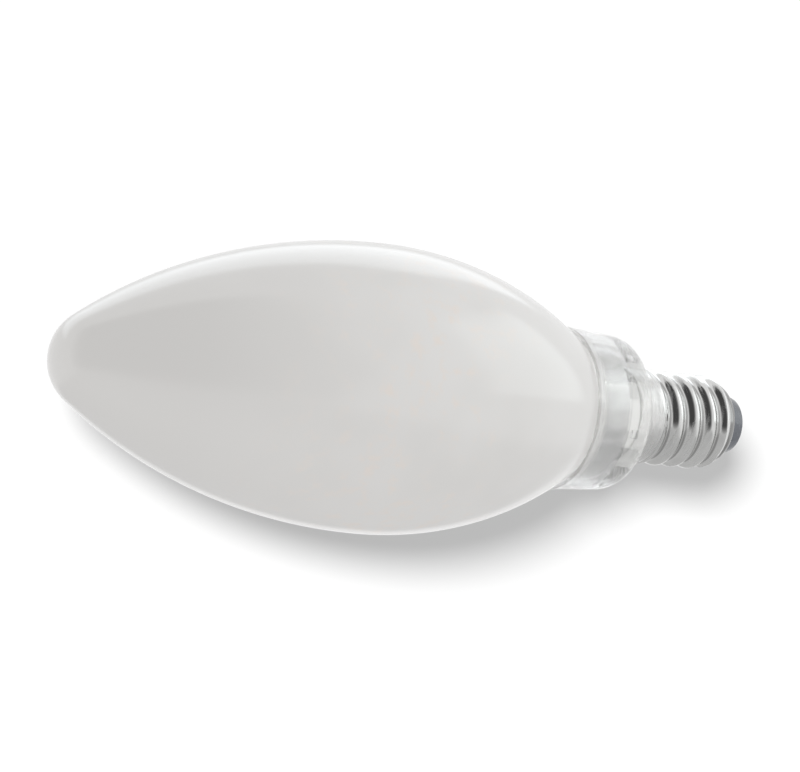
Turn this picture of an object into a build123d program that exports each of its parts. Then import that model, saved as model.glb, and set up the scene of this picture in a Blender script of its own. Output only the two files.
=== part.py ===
from build123d import *
import os
from math import acos, atan2, cos, degrees, radians, sin, sqrt

# Candle lamp with a candelabra screw cap, in millimetres.
# +Z runs along the lamp's axis from the cap to the glass tip.
# The origin is on the axis, at the face of the centre contact.

# Stack of heights along the axis, from the contact up
contact_projection = 0.8
insulator_projection = 2.3
shell_length = 15.5
collar_length = 9.4
glass_length = 70.0

# Opal glass envelope
glass_diameter = 35.0
nose_length = 43.3
tip_radius = 6.3
neck_clearance = 0.85
neck_length = 0.2
neck_blend_radius = 1.5
seal_radius = 1.2
glass_wall = 0.8

# Clear collar
foot_diameter = 19.0
wall_draft = 0.5
rim_flare = 0.2
rim_lip = 0.55
flare_length = 1.6
rim_edge_radius = 0.25
shoulder_radius = 2.4
collar_wall = 1.2
floor_thickness = 3.7
glass_bond_gap = 0.1
spigot_wall = 0.9
spigot_clearance = 0.05
ledge_thickness = 0.8
ledge_width = 0.8
pocket_count = 6
pocket_width = 1.0
pocket_height = 0.9
pocket_depth = 0.5
pocket_rise = 2.75
pocket_phase = 16.0

# Satin sleeve behind the collar's wall, the bond above it and the tube round the driver
sleeve_height = 3.75
sleeve_thickness = 0.25
sleeve_clearance = 0.05
sleeve_glass_gap = 0.1
bond_height = 0.3
tube_wall = 0.3
tube_clearance = 0.05

# Rolled screw shell with a right-hand knuckle thread
thread_diameter = 11.89
thread_depth = 0.635
thread_pitch = 2.54
thread_start = -156.0
shell_turn = 180.0
root_land_rise = 0.03
sheet_thickness = 0.25
plain_rise = 0.55
plain_length = 3.7
plain_blend = 0.6
roll_radius = 2.2
roll_angle = 48.0
fade_length = 1.3

# Insulator and centre contact
insulator_clearance = 0.05
insulator_seat = 2.2
insulator_skirt = 0.3
insulator_end_diameter = 6.8
insulator_edge_radius = 0.5
contact_diameter = 4.2
contact_edge_radius = 0.4
contact_shank_diameter = 2.0
contact_shank_stand = 0.3
contact_clearance = 0.05

# Driver board and what is soldered to it
board_thickness = 0.8
board_offset = 0.7
board_clearance = 0.06
board_glass_gap = 0.6
can_diameter = 4.0
can_length = 6.0
can_gap = 0.1
can_rise = 1.6
can_lead_spacing = 2.0
can_lead_drop = 0.8
rectifier_size = (1.2, 4.0, 3.8)
rectifier_rise = 2.0
chip_size = (1.1, 3.0, 2.6)
chip_rise = 7.5
leg_size = (0.2, 0.6, 0.5)
resistor_diameter = 2.0
resistor_length = 2.0
resistor_stand = 0.4
resistor_lead_overlap = 1.0
wire_diameter = 0.5
wire_bend_radius = 0.6
shell_lead_inset = 0.7
shell_lead_rise = 2.2
shell_lead_gap = 0.02
shell_lead_groove_clearance = 0.05
stem_lead_spacing = 3.2
stem_lead_overlap = 1.6

# Radii worked out from the driving sizes
belly_r = glass_diameter / 2
foot_r = foot_diameter / 2
waist_r = foot_r + wall_draft
rim_r = waist_r + rim_flare
mouth_r = rim_r - rim_lip
foot_bore_r = foot_r - collar_wall
taper_length = collar_length - flare_length
floor_bore_r = foot_bore_r + wall_draft * floor_thickness / taper_length
sleeve_bore_r = floor_bore_r - sleeve_clearance - sleeve_thickness
neck_r = sleeve_bore_r - neck_clearance
crest_r = thread_diameter / 2
root_r = crest_r - thread_depth
core_r = root_r + root_land_rise
plain_r = root_r + plain_rise
shell_bore_r = core_r - sheet_thickness
plain_bore_r = plain_r - sheet_thickness
spigot_r = shell_bore_r - spigot_clearance
spigot_top_r = plain_bore_r - spigot_clearance
spigot_bore_r = spigot_r - spigot_wall
tube_r = spigot_bore_r - tube_clearance
tube_bore_r = tube_r - tube_wall
ledge_r = spigot_bore_r - ledge_width
wire_r = wire_diameter / 2

# Glass arcs: the nose touches the tip ball and the widest ring, the tail runs from that ring to the mouth
nose_rise = nose_length - tip_radius
nose_radius = (nose_rise**2 + belly_r**2 - tip_radius**2) / (2 * (belly_r - tip_radius))
tail_drop = glass_length - nose_length
tail_inset = belly_r - mouth_r
tail_radius = (tail_drop**2 + tail_inset**2) / (2 * tail_inset)
blend_run = neck_r - belly_r + tail_radius + neck_blend_radius
blend_drop = sqrt((tail_radius + neck_blend_radius) ** 2 - blend_run**2)

# Heights worked out from the stack
rim_roll_z = contact_projection + insulator_projection
shoulder_z = rim_roll_z + shell_length
collar_rim_z = shoulder_z + collar_length
tip_z = collar_rim_z + glass_length
belly_z = tip_z - nose_length
neck_end_z = belly_z - blend_drop - neck_length - seal_radius
floor_z = shoulder_z + floor_thickness
plain_end_z = shoulder_z - plain_length
insulator_top_z = rim_roll_z + insulator_seat
shank_z = insulator_top_z + contact_shank_stand
board_low_z = shank_z + resistor_length + 2 * resistor_stand
spigot_end_z = board_low_z - ledge_thickness
board_high_z = neck_end_z - board_glass_gap


def turned(outline):
    """Turns a closed outline of (radius, height) lines about the lamp's axis."""
    return revolve(Plane.XZ * make_face(outline), axis=Axis.Z)


def turned_face(face):
    """Turns a flat (radius, height) face about the lamp's axis."""
    return revolve(Plane.XZ * face, axis=Axis.Z)


def corner(face, radius, height):
    """Picks the corner of a (radius, height) face that lies nearest to a point."""
    return face.vertices().sort_by_distance((radius, height, 0))[0]


def tail_height(radius, grow=0.0):
    """Height at which the glass tail, grown outwards by grow, has the given radius."""
    run = radius - belly_r + tail_radius
    return belly_z - sqrt((tail_radius + grow) ** 2 - run**2)


def glass_body(grow):
    """Filled envelope, with every wall moved outwards by grow."""
    tip_centre = (0, tip_z - tip_radius)
    nose_centre = (belly_r - nose_radius, belly_z)
    tail_centre = (belly_r - tail_radius, belly_z)
    tip_angle = degrees(atan2(nose_rise, nose_radius - belly_r))
    neck_wall = neck_r + grow
    end_z = neck_end_z - grow
    tail_turn = degrees(acos((neck_wall - tail_centre[0]) / (tail_radius + grow)))
    tip_arc = CenterArc(tip_centre, tip_radius + grow, 90, tip_angle - 90)
    nose_arc = CenterArc(nose_centre, nose_radius + grow, tip_angle, -tip_angle)
    tail_arc = CenterArc(tail_centre, tail_radius + grow, 0, -tail_turn)
    neck_start = tail_arc @ 1
    neck = Polyline(neck_start, (neck_wall, end_z), (0, end_z), (0, tip_z + grow))
    face = make_face([tip_arc, nose_arc, tail_arc, *neck.edges()])
    face = fillet(corner(face, neck_wall, end_z), seal_radius + grow)
    face = fillet(corner(face, neck_start.X, neck_start.Y), neck_blend_radius - grow)
    return turned_face(face)


def make_glass_envelope():
    """Blown envelope: one even wall round a sealed hollow."""
    return glass_body(0) - glass_body(-glass_wall)


def collar_bore_radius(height):
    """Inner radius of the collar's tapered wall at a height."""
    return foot_bore_r + wall_draft * (height - shoulder_z) / taper_length


def make_collar():
    """Clear collar: flared mouth, tapered wall, thick round shoulder and a spigot that carries the shell."""
    outline = Polyline(
        (collar_bore_radius(collar_rim_z), collar_rim_z),
        (rim_r, collar_rim_z),
        (waist_r, collar_rim_z - flare_length),
        (foot_r, shoulder_z),
        (spigot_top_r, shoulder_z),
        (spigot_top_r, plain_end_z),
        (spigot_r, plain_end_z - plain_blend),
        (spigot_r, spigot_end_z),
        (ledge_r, spigot_end_z),
        (ledge_r, board_low_z),
        (spigot_bore_r, board_low_z),
        (spigot_bore_r, floor_z),
        (collar_bore_radius(floor_z), floor_z),
        close=True,
    )
    face = make_face(outline.edges())
    face = fillet(corner(face, rim_r, collar_rim_z), rim_edge_radius)
    face = fillet(corner(face, foot_r, shoulder_z), shoulder_radius)
    collar = turned_face(face) - glass_body(glass_bond_gap)
    return collar - pockets() - shell_lead_groove()


def pockets():
    """Ring of small blind pockets in the collar's wall, just above the shoulder."""
    depth_centre = foot_r + pocket_depth
    pocket = Box(3 * pocket_depth, pocket_width, pocket_height)
    ring = PolarLocations(depth_centre, pocket_count, start_angle=pocket_phase)
    lift = Pos(0, 0, shoulder_z + pocket_rise + pocket_height / 2)
    return [lift * place * pocket for place in ring]


def make_driver_sleeve():
    """Thin satin sleeve that stands on the collar's floor, close to its tapered wall."""
    top_z = floor_z + sleeve_height
    top_bore_r = collar_bore_radius(top_z) - sleeve_clearance - sleeve_thickness
    outline = Polyline(
        (sleeve_bore_r, floor_z),
        (sleeve_bore_r + sleeve_thickness, floor_z),
        (top_bore_r + sleeve_thickness, top_z),
        (top_bore_r, top_z),
        close=True,
    )
    return turned(outline.edges()) - glass_body(sleeve_glass_gap)


def make_bond_ring():
    """Ring of clear bond between the glass tail and the collar's wall, on top of the sleeve."""
    low_z = floor_z + sleeve_height
    high_z = low_z + bond_height
    outline = Polyline(
        (neck_r, low_z),
        (collar_bore_radius(low_z), low_z),
        (collar_bore_radius(high_z), high_z),
        (neck_r, high_z),
        close=True,
    )
    return turned(outline.edges()) - glass_body(0)


def make_driver_tube():
    """Insulating tube that stands on the spigot's ledge, round the driver."""
    height = floor_z - board_low_z
    base = Pos(0, 0, board_low_z + height / 2)
    return base * (Cylinder(tube_r, height) - Cylinder(tube_bore_r, height))


def thread_ridge(inset):
    """Right-hand helical ridge of the knuckle thread, with its surface moved inwards by inset."""
    half_pitch = thread_pitch / 2
    depth = crest_r - root_r
    knuckle_r = (half_pitch**2 + depth**2) / (4 * depth)
    crest_centre = crest_r - knuckle_r
    root_centre = root_r + knuckle_r
    crest_radius = knuckle_r - inset
    root_radius = knuckle_r + inset
    flank = atan2(half_pitch, root_centre - crest_centre)
    flank_point = (crest_centre + crest_radius * cos(flank), crest_radius * sin(flank))
    foot_turn = acos(1 - root_land_rise / (2 * root_radius))
    foot_point = (root_centre - root_radius * cos(foot_turn), half_pitch - root_radius * sin(foot_turn))
    mid_turn = (foot_turn + flank) / 2
    mid_point = (root_centre - root_radius * cos(mid_turn), half_pitch - root_radius * sin(mid_turn))
    sunk_r = core_r - inset - sheet_thickness
    upper = ThreePointArc(flank_point, mid_point, foot_point)
    crest = ThreePointArc(mirrored(flank_point), (crest_r - inset, 0), flank_point)
    lower = ThreePointArc(mirrored(foot_point), mirrored(mid_point), mirrored(flank_point))
    base = Polyline(foot_point, (sunk_r, foot_point[1]), (sunk_r, -foot_point[1]), mirrored(foot_point))
    face = Plane.XZ * make_face([lower, crest, upper, *base.edges()])
    low_z = rim_roll_z - thread_pitch
    turns = (shoulder_z - low_z) / thread_pitch
    path = Helix(thread_pitch, turns * thread_pitch, root_r)
    ridge = sweep(face, path=path, is_frenet=True)
    return Pos(0, 0, low_z) * Rot(0, 0, thread_start) * ridge


def mirrored(point):
    """The same point on the other side of the ridge's middle."""
    return (point[0], -point[1])


def fade_limit(inset):
    """Turned limit that makes the ridge run out at the plain cylinder and at the rolled rim."""
    low_z = rim_roll_z + roll_radius / 2
    high_z = plain_end_z
    foot = core_r - inset - sheet_thickness / 2
    clear = crest_r - inset + sheet_thickness
    outline = Polyline(
        (0, low_z),
        (foot, low_z),
        (clear, low_z + fade_length),
        (clear, high_z - fade_length),
        (foot, high_z),
        (0, high_z),
        close=True,
    )
    return turned(outline.edges())


def shell_core(inset, overrun):
    """Turned body of the shell without its ridge, moved inwards by inset and run past both ends."""
    roll_centre = (core_r - roll_radius, rim_roll_z + roll_radius * sin(radians(roll_angle)))
    roll_r = roll_radius - inset
    roll_drop = roll_centre[1] - rim_roll_z
    roll_turn = degrees(atan2(roll_drop, sqrt(roll_r**2 - roll_drop**2)))
    roll = CenterArc(roll_centre, roll_r, 0, -roll_turn)
    wall = Polyline(
        (0, rim_roll_z - overrun),
        (0, shoulder_z + overrun),
        (plain_r - inset, shoulder_z + overrun),
        (plain_r - inset, plain_end_z),
        (core_r - inset, plain_end_z - plain_blend),
        roll @ 0,
    )
    lip = [] if overrun == 0 else [Line(roll @ 1, ((roll @ 1).X, rim_roll_z - overrun))]
    end = lip[0] @ 1 if lip else roll @ 1
    base = Line(end, (0, rim_roll_z - overrun))
    return turned([*wall.edges(), roll, *lip, base])


def threaded_body(inset, overrun):
    """Shell body with its ridge, moved inwards by inset."""
    return shell_core(inset, overrun) + (thread_ridge(inset) & fade_limit(inset))


def make_screw_shell():
    """Screw shell rolled from one sheet: plain top, knuckle thread and a rim turned in at the end."""
    shell = threaded_body(0, 0) - threaded_body(sheet_thickness, 1)
    return Rot(0, 0, shell_turn) * shell


def insulator_seat_body():
    """Part of the insulator that the shell's rolled rim holds."""
    block = shell_core(sheet_thickness + insulator_clearance, 1)
    height = insulator_top_z - rim_roll_z
    slab = Pos(0, 0, rim_roll_z + height / 2) * Cylinder(glass_diameter, height)
    return block & slab


def make_base_insulator():
    """Insulator button: seat inside the rim, conical nose and a hole for the contact's shank."""
    seat = insulator_seat_body()
    rim = seat.faces().sort_by(Axis.Z)[0]
    skirt_r = rim.bounding_box().size.X / 2
    skirt_z = rim_roll_z - insulator_skirt
    end_r = insulator_end_diameter / 2
    outline = Polyline(
        (0, rim_roll_z),
        (skirt_r, rim_roll_z),
        (skirt_r, skirt_z),
        (end_r, contact_projection),
        (0, contact_projection),
        close=True,
    )
    face = make_face(outline.edges())
    face = fillet(corner(face, end_r, contact_projection), insulator_edge_radius)
    hole_r = contact_shank_diameter / 2 + contact_clearance
    hole = Pos(0, 0, insulator_top_z / 2) * Cylinder(hole_r, 2 * insulator_top_z)
    return seat + turned_face(face) - hole


def make_centre_contact():
    """Riveted contact: flat button with a round edge, and a shank through the insulator."""
    head_r = contact_diameter / 2
    shank_r = contact_shank_diameter / 2
    outline = Polyline(
        (0, 0),
        (head_r, 0),
        (head_r, contact_projection),
        (shank_r, contact_projection),
        (shank_r, shank_z),
        (0, shank_z),
        close=True,
    )
    face = make_face(outline.edges())
    face = fillet(corner(face, head_r, 0), contact_edge_radius)
    return turned_face(face)


def board_half_width():
    """Half the board's width, where its outer corners come close to the tube's bore."""
    outer_face = board_offset + board_thickness
    return sqrt((tube_bore_r - board_clearance) ** 2 - outer_face**2)


def make_driver_board():
    """Board that stands on the spigot's ledge, across the tube."""
    height = board_high_z - board_low_z
    centre = Pos(board_offset + board_thickness / 2, 0, board_low_z + height / 2)
    return centre * Box(board_thickness, 2 * board_half_width(), height)


def soldered_block(size, rise):
    """Component block with two pairs of legs, flat on the outer face of the board."""
    depth, width, height = size
    leg_depth, leg_width, leg_length = leg_size
    face_x = board_offset + board_thickness
    block = Pos(face_x + depth / 2, 0, 0) * Box(depth, width, height)
    leg_x = face_x + leg_depth / 2
    leg_y = width / 4
    leg_z = (height + leg_length) / 2
    leg = Box(leg_depth, leg_width, leg_length)
    for side in (-1, 1):
        for end in (-1, 1):
            block += Pos(leg_x, side * leg_y, end * leg_z) * leg
    return Pos(0, 0, board_low_z + rise + height / 2) * block


def wire(points):
    """Round wire along straight runs joined by tangent arcs."""
    path = FilletPolyline(*points, radius=wire_bend_radius) if len(points) > 2 else Line(*points)
    start = Plane(path @ 0, z_dir=path % 0)
    return sweep(start * Circle(wire_r), path=path)


def make_smoothing_capacitor():
    """Can that stands beside the board, with two leads bent into it."""
    can_x = board_offset - can_gap - can_diameter / 2
    low_z = board_low_z + can_rise
    can = Pos(can_x, 0, low_z + can_length / 2) * Cylinder(can_diameter / 2, can_length)
    for side in (-1, 1):
        lead_y = side * can_lead_spacing / 2
        lead_z = low_z - can_lead_drop
        can += wire([(can_x, lead_y, low_z), (can_x, lead_y, lead_z), (board_offset, lead_y, lead_z)])
    return can


def make_fuse_resistor():
    """Resistor between the contact's shank and the board's inner face."""
    axis_x = board_offset - wire_r
    top_z = board_low_z + resistor_lead_overlap
    body_z = shank_z + resistor_stand + resistor_length / 2
    lead = Pos(axis_x, 0, (shank_z + top_z) / 2) * Cylinder(wire_r, top_z - shank_z)
    body = Pos(axis_x, 0, body_z) * Cylinder(resistor_diameter / 2, resistor_length)
    return lead + body


def shell_lead_y(radius):
    """Place of the shell's lead beside the board's inner face, at a distance from the axis."""
    return sqrt(radius**2 - (board_offset - wire_r) ** 2)


def shell_lead_outer_y():
    """Place of the lead's end between the spigot and the shell."""
    return shell_lead_y(shell_bore_r - shell_lead_gap - wire_r)


def shell_lead_groove():
    """Groove in the spigot's side that takes the lead to the shell."""
    width = wire_diameter + 2 * shell_lead_groove_clearance
    height = shell_lead_rise + wire_r
    centre = Pos(board_offset - wire_r, shell_lead_outer_y() + width, spigot_end_z + height / 2)
    return centre * Box(width, 3 * width, height)


def make_shell_lead():
    """Lead from the board, under the spigot's end and up inside the shell."""
    lead_x = board_offset - wire_r
    turn_z = spigot_end_z - wire_diameter
    high_z = board_low_z + shell_lead_rise
    inner_y = shell_lead_y(ledge_r - shell_lead_inset)
    outer_y = shell_lead_outer_y()
    return wire(
        [
            (lead_x, inner_y, high_z),
            (lead_x, inner_y, turn_z),
            (lead_x, outer_y, turn_z),
            (lead_x, outer_y, spigot_end_z + shell_lead_rise),
        ]
    )


def make_stem_leads():
    """Two straight leads from the glass seal to the board's inner face."""
    lead_x = board_offset - wire_r
    low_z = board_high_z - stem_lead_overlap
    length = neck_end_z - low_z
    lead = Pos(lead_x, 0, low_z + length / 2) * Cylinder(wire_r, length)
    return [Pos(0, side * stem_lead_spacing / 2, 0) * lead for side in (-1, 1)]


makers = {
    "glass_envelope": make_glass_envelope,
    "bond_ring": make_bond_ring,
    "collar": make_collar,
    "driver_sleeve": make_driver_sleeve,
    "driver_tube": make_driver_tube,
    "screw_shell": make_screw_shell,
    "base_insulator": make_base_insulator,
    "centre_contact": make_centre_contact,
    "driver_board": make_driver_board,
    "bridge_rectifier": lambda: soldered_block(rectifier_size, rectifier_rise),
    "driver_chip": lambda: soldered_block(chip_size, chip_rise),
    "smoothing_capacitor": make_smoothing_capacitor,
    "fuse_resistor": make_fuse_resistor,
    "shell_lead": make_shell_lead,
    "stem_leads": make_stem_leads,
}

os.makedirs("parts", exist_ok=True)
for name, maker in makers.items():
    solid = maker()
    if isinstance(solid, list):
        solid = Compound(children=solid)
    export_step(solid, f"parts/{name}.step")
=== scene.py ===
"""Opal candle bulb with a clear collar and a bright screw cap: its looks, its light and its camera."""

import logging
import math
from collections.abc import Callable
from dataclasses import dataclass
from enum import Enum

import bmesh
import bpy
from mathutils import Matrix, Vector

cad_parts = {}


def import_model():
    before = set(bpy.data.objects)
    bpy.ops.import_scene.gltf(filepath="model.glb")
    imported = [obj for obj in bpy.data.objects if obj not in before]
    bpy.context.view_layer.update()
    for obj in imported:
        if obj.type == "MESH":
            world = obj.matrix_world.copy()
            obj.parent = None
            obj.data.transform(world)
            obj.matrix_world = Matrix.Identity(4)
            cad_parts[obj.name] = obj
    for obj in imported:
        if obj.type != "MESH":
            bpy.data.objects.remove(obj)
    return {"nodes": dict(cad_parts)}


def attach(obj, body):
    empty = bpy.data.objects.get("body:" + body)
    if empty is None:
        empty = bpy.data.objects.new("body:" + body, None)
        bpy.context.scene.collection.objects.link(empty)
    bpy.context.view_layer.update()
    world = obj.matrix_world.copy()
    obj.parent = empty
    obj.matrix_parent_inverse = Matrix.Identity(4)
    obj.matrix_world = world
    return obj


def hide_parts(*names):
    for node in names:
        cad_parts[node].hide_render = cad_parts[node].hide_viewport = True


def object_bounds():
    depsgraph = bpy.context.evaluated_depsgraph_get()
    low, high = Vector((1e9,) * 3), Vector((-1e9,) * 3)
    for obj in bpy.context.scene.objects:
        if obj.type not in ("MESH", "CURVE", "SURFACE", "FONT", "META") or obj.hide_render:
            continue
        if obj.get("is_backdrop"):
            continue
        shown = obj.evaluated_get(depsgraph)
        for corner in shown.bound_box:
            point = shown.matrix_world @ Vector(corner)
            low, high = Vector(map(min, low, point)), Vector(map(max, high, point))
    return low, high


MM = 0.001
ROUND = 360.0
BODY = "root"

Colour = tuple[float, float, float]
Triple = tuple[float, float, float]
Span = tuple[float, float]

log = logging.getLogger("candle_bulb")


# Shader graph


class Value:
    """A socket that takes part in shader maths.

    Args:
        graph: The graph that its maths is added to.
        socket: The socket, or None for a node that ends a tree.
    """

    def __init__(self, graph: "Graph", socket: "bpy.types.NodeSocket | None") -> None:
        """Holds the socket and its graph."""
        self.graph = graph
        self.socket = socket

    def _with(self, operation: str, first: "Value | float", second: "Value | float") -> "Value":
        """Adds one Math node."""
        return self.graph.node("ShaderNodeMath", {"operation": operation}, {0: first, 1: second})

    def __add__(self, other: "Value | float") -> "Value":
        """Sum."""
        return self._with("ADD", self, other)

    __radd__ = __add__

    def __sub__(self, other: "Value | float") -> "Value":
        """Difference."""
        return self._with("SUBTRACT", self, other)

    def __rsub__(self, other: "Value | float") -> "Value":
        """Difference, the other way round."""
        return self._with("SUBTRACT", other, self)

    def __mul__(self, other: "Value | float") -> "Value":
        """Product."""
        return self._with("MULTIPLY", self, other)

    __rmul__ = __mul__

    def over(self, low: float, high: float) -> "Value":
        """Smooth step.

        Args:
            low: Where it leaves 0.
            high: Where it reaches 1.

        Returns:
            The step.
        """
        settings = {"interpolation_type": "SMOOTHSTEP"}
        inputs = {"Value": self, "From Min": low, "From Max": high}
        return self.graph.node("ShaderNodeMapRange", settings, inputs)

    def within(self, rise: Span, fall: Span) -> "Value":
        """Mask that goes up over one range and down over a later one."""
        return self.over(*rise) * (1 - self.over(*fall))


class Graph:
    """The node tree of one material or of the world.

    Args:
        tree: A node tree, which is emptied.
    """

    def __init__(self, tree: bpy.types.NodeTree) -> None:
        """Empties the tree."""
        self.tree = tree
        self.tree.nodes.clear()

    def node(
        self, kind: str, settings: dict | None = None, inputs: dict | None = None, output: int | str = 0
    ) -> Value:
        """Adds a node.

        Args:
            kind: The node's type.
            settings: Its properties, which are set before its sockets.
            inputs: Socket names or numbers with their values or links.
            output: The socket that is handed back.

        Returns:
            The chosen output.
        """
        made = self.tree.nodes.new(kind)
        for name, value in (settings or {}).items():
            setattr(made, name, value)
        for key, value in (inputs or {}).items():
            if isinstance(value, Value):
                self.tree.links.new(value.socket, made.inputs[key])
            else:
                made.inputs[key].default_value = value
        return Value(self, made.outputs[output]) if len(made.outputs) else Value(self, None)

    def place(self, stretch: Triple = (1.0, 1.0, 1.0)) -> Value:
        """Object coordinates in millimetres.

        Args:
            stretch: What each axis is multiplied by.

        Returns:
            The coordinates as a vector.
        """
        place = self.node("ShaderNodeTexCoord", output="Object")
        scale = tuple(part / MM for part in stretch)
        return self.node("ShaderNodeVectorMath", {"operation": "MULTIPLY"}, {0: place, 1: scale})

    def noise(self, place: Value, scale: float, detail: float = 3.0, roughness: float = 0.5) -> Value:
        """Cloudy noise round one half."""
        inputs = {"Vector": place, "Scale": scale, "Detail": detail, "Roughness": roughness}
        return self.node("ShaderNodeTexNoise", {}, inputs)

    def split(self, place: Value, axis: str) -> Value:
        """One coordinate of a vector."""
        return self.node("ShaderNodeSeparateXYZ", {}, {0: place}, axis)

    def blend(self, factor: Value, low: Colour, high: Colour) -> Value:
        """Mix of two colours."""
        inputs = {0: factor, 6: (*low, 1.0), 7: (*high, 1.0)}
        return self.node("ShaderNodeMix", {"data_type": "RGBA"}, inputs, 2)

    def stain(self, factor: Value, under: Value, over: Colour) -> Value:
        """A colour laid over another by a mask."""
        return self.node("ShaderNodeMix", {"data_type": "RGBA"}, {0: factor, 6: under, 7: (*over, 1.0)}, 2)

    def bump(self, height: Value, strength: float, distance: float) -> Value:
        """Surface relief of a height in millimetres."""
        inputs = {"Height": height, "Strength": strength, "Distance": distance * MM}
        return self.node("ShaderNodeBump", {}, inputs)

    def surface(self, **inputs: object) -> None:
        """Ends the tree in one Principled surface.

        Args:
            **inputs: Socket names, with underscores for spaces, and their values or links.
        """
        named = {name.replace("_", " "): value for name, value in inputs.items()}
        shader = self.node("ShaderNodeBsdfPrincipled", {}, named)
        self.node("ShaderNodeOutputMaterial", {}, {"Surface": shader})


# Finishes: heights, radii and reliefs in millimetres, pattern scales per millimetre


@dataclass(frozen=True)
class Finish:
    """A finish of one material slot."""

    slot: str

    def material(self) -> bpy.types.Material:
        """The finish as a material, made once.

        Returns:
            The material.
        """
        made = bpy.data.materials.get(self.slot + "_finish")
        if made is None:
            made = bpy.data.materials.new(self.slot + "_finish")
            made.use_nodes = True
            self.dress(Graph(made.node_tree))
        return made

    def dress(self, graph: Graph) -> None:
        """Fills the material's node tree."""
        raise NotImplementedError


@dataclass(frozen=True)
class OpalGlass(Finish):
    """White opal coat under smooth clear glass, with faint warm clouds and a few pin specks.

    The glass is divided into cells, and some of them hold a speck, whose radius is a share of the cell.
    """

    slot: str = "opal_glass"
    opal: Colour = (0.612, 0.602, 0.588)
    pale: Colour = (0.642, 0.633, 0.621)
    warm: Colour = (0.670, 0.618, 0.576)
    # painted shade: the nose colour darkens the glass towards the tip
    nose: Colour = (0.604, 0.594, 0.581)
    speck: Colour = (0.20, 0.19, 0.18)
    cloud_scale: float = 0.06
    cloud_detail: float = 2.0
    cloud_range: Span = (0.35, 0.65)
    nose_shade_heights: Span = (60.0, 88.0)
    mottle_rise: Span = (36.0, 50.0)
    mottle_fall: Span = (64.0, 80.0)
    patch_range: Span = (0.40, 0.56)
    mottle_scale: float = 0.45
    mottle_detail: float = 5.0
    mottle_roughness: float = 0.65
    mottle_range: Span = (0.48, 0.68)
    mottle_strength: float = 0.85
    cell_scale: float = 0.075
    speck_share: float = 0.02
    speck_core: float = 0.6
    speck_choice: Span = (0.60, 0.61)
    roughness: float = 0.45
    index: float = 1.5
    coat_roughness: float = 0.06

    def dress(self, graph: Graph) -> None:
        """Opal colour with clouds, a greyer nose of painted shade, warm mottle about the middle and specks.

        Args:
            graph: The material's empty tree.
        """
        place = graph.place()
        height = graph.split(place, "Z")
        cloud = graph.noise(place, self.cloud_scale, self.cloud_detail)
        colour = graph.blend(cloud.over(*self.cloud_range), self.opal, self.pale)
        # painted shade: greyer towards the tip
        colour = graph.stain(height.over(*self.nose_shade_heights), colour, self.nose)
        middle = height.within(self.mottle_rise, self.mottle_fall)
        patches = graph.noise(place, self.cloud_scale).over(*self.patch_range)
        grain = graph.noise(place, self.mottle_scale, self.mottle_detail, self.mottle_roughness)
        mottle = middle * patches * grain.over(*self.mottle_range) * self.mottle_strength
        colour = graph.stain(mottle, colour, self.warm)
        cell = {"Vector": place, "Scale": self.cell_scale}
        from_middle = graph.node("ShaderNodeTexVoronoi", {}, cell)
        spot = 1 - from_middle.over(self.speck_share * self.speck_core, self.speck_share)
        pick = graph.node("ShaderNodeTexVoronoi", {}, cell, "Color")
        chosen = graph.split(pick, "X").over(*self.speck_choice)
        graph.surface(
            Base_Color=graph.stain(spot * chosen, colour, self.speck),
            Roughness=self.roughness,
            IOR=self.index,
            Coat_Weight=1.0,
            Coat_Roughness=self.coat_roughness,
            Coat_IOR=self.index,
        )


@dataclass(frozen=True)
class ClearPlastic(Finish):
    """Clear moulded plastic with a shallow flow wave and painted shade along its rim, where it meets the
    glass.
    """

    slot: str = "clear_plastic"
    tint: Colour = (0.975, 0.98, 0.98)
    # painted shade: a dark tint along the top edge stands in for the shadow where collar and glass meet
    rim_shade: Colour = (0.42, 0.40, 0.38)
    rim_shade_z: float = 27.85
    rim_shade_fade: float = 0.12
    wave_stretch: Triple = (1.0, 1.0, 0.4)
    wave_scale: float = 0.5
    wave_detail: float = 2.0
    wave_strength: float = 0.25
    wave_relief: float = 0.05
    roughness: float = 0.02
    index: float = 1.4
    body: float = 0.48
    clarity: float = 0.9

    def dress(self, graph: Graph) -> None:
        """Clear glossy body with its wave and the painted shade at its rim.

        Args:
            graph: The material's empty tree.
        """
        wave = graph.noise(graph.place(self.wave_stretch), self.wave_scale, self.wave_detail)
        # painted shade at the rim, where collar and glass meet
        rim_shade = graph.split(graph.place(), "Z").over(self.rim_shade_z - self.rim_shade_fade, self.rim_shade_z)
        graph.surface(
            Base_Color=graph.blend(rim_shade, self.tint, self.rim_shade),
            Roughness=self.roughness,
            IOR=self.index,
            Alpha=self.body,
            Transmission_Weight=self.clarity,
            Normal=graph.bump(wave, self.wave_strength, self.wave_relief),
        )


@dataclass(frozen=True)
class ClearBond(Finish):
    """Set clear adhesive, a little cloudy."""

    slot: str = "clear_bond"
    tint: Colour = (0.90, 0.90, 0.88)
    cloudy: Colour = (0.96, 0.96, 0.95)
    cloud_scale: float = 1.2
    roughness: float = 0.12
    spread: float = 0.2
    index: float = 1.45
    clarity: float = 0.9

    def dress(self, graph: Graph) -> None:
        """Cloudy clear body.

        Args:
            graph: The material's empty tree.
        """
        cloud = graph.noise(graph.place(), self.cloud_scale)
        graph.surface(
            Base_Color=graph.blend(cloud, self.tint, self.cloudy),
            Roughness=self.roughness + cloud * self.spread,
            IOR=self.index,
            Transmission_Weight=self.clarity,
        )


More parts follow.
